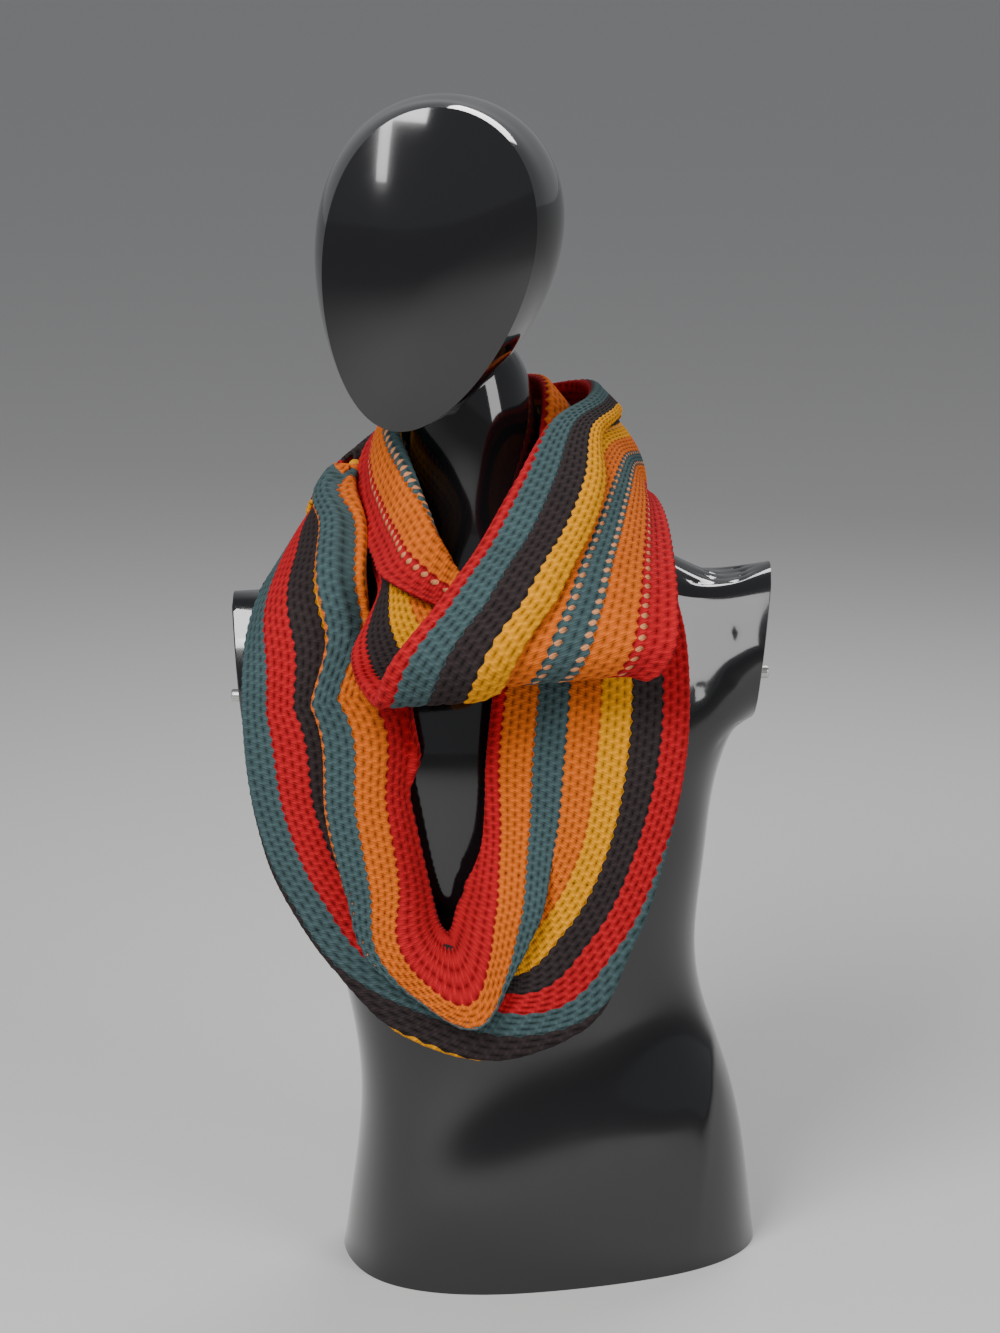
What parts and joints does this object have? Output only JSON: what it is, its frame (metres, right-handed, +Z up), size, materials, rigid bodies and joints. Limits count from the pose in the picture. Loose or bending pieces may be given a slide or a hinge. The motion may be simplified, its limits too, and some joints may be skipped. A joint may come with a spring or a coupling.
{
  "type": "striped knit infinity scarf on a limbless display bust",
  "caption": "Wide lengthwise-striped chunky knit loop scarf, wound twice round the neck of a standing faceless gloss black display bust without arms.",
  "frame": {"origin": "centre of the bounding box's bottom face, on the surface that the bust stands on", "axes": "+Z up, -Y out of the bust's front, +X towards the left shoulder of the bust, which is at the right as seen from the front"},
  "size_m": [0.4364, 0.3741, 0.9513],
  "materials": {
    "striped_wool": "chunky wool knit in lengthwise stripes of red, orange, grey-blue, yellow and dark brown",
    "black_gloss": "high gloss black lacquer",
    "peg_steel": "plain steel pin"
  },
  "bodies": {
    "root": {"bust": "black_gloss", "peg_left": "peg_steel", "peg_right": "peg_steel", "scarf_left_arm": "striped_wool", "scarf_v_bottom": "striped_wool", "scarf_right_arm": "striped_wool", "scarf_back_inner": "striped_wool", "scarf_upper_left": "striped_wool", "scarf_upper_front": "striped_wool", "scarf_back_outer": "striped_wool"}
  },
  "joints": []
}
